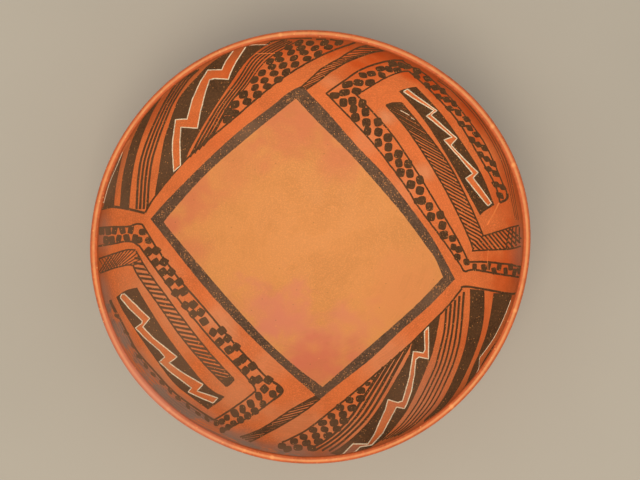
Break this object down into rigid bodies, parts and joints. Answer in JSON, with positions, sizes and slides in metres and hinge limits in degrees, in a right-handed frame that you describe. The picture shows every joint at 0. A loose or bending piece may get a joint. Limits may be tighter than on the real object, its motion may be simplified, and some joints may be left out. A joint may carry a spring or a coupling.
{
  "type": "pottery bowl",
  "caption": "Open round pottery bowl, coil built and scraped thin, with a rounded lip, a flattened resting face and a painted geometric inside, for serving and holding food.",
  "frame": {"origin": "centre of the flat resting face, under the middle of the bowl", "axes": "+Z up along the bowl's own axis, out of its mouth; +X to the right and +Y up in the picture"},
  "size_m": [0.26, 0.26, 0.108],
  "materials": {
    "red_slip": "satin",
    "worn_lip": "satin",
    "black_paint": "matte",
    "white_paint": "matte"
  },
  "bodies": {
    "root": {"base_pat": "red_slip", "wall_coil_1": "red_slip", "wall_coil_2": "red_slip", "wall_coil_3": "red_slip", "wall_coil_4": "red_slip", "wall_coil_5": "red_slip", "wall_coil_6": "red_slip", "wall_coil_7": "red_slip", "wall_coil_8": "red_slip", "rim_coil": "worn_lip"}
  },
  "joints": []
}
